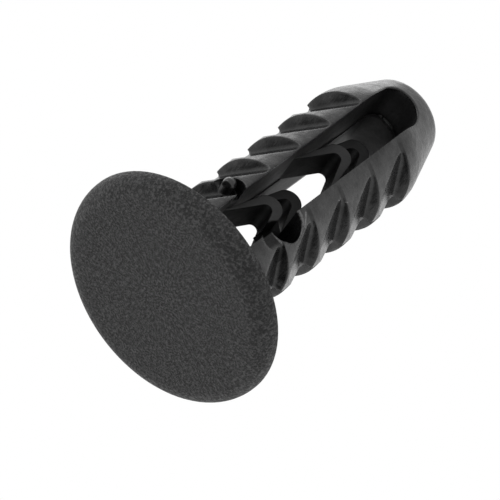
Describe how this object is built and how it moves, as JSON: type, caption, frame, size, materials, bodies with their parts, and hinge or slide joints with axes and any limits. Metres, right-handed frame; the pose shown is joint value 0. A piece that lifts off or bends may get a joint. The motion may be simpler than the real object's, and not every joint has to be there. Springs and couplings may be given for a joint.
{
  "type": "push-in clip",
  "caption": "Black plastic push-in clip: round flat head and a slotted, barbed shank with spring webs and a bullet nose, pressed into a panel hole to hold trim.",
  "frame": {"origin": "centre of the head's flat outer face, which the clip stands on", "axes": "+Z along the shank from the head to the nose, X across the slot from leg to leg, Y along the mould's opening direction, with the pocketed front of the legs on the -Y side"},
  "size_m": [0.018, 0.018, 0.0299],
  "materials": {
    "nylon": "fine spark-eroded grain on the head, smooth satin on the shank"
  },
  "bodies": {
    "root": {"push_in_clip": "nylon"}
  },
  "joints": []
}
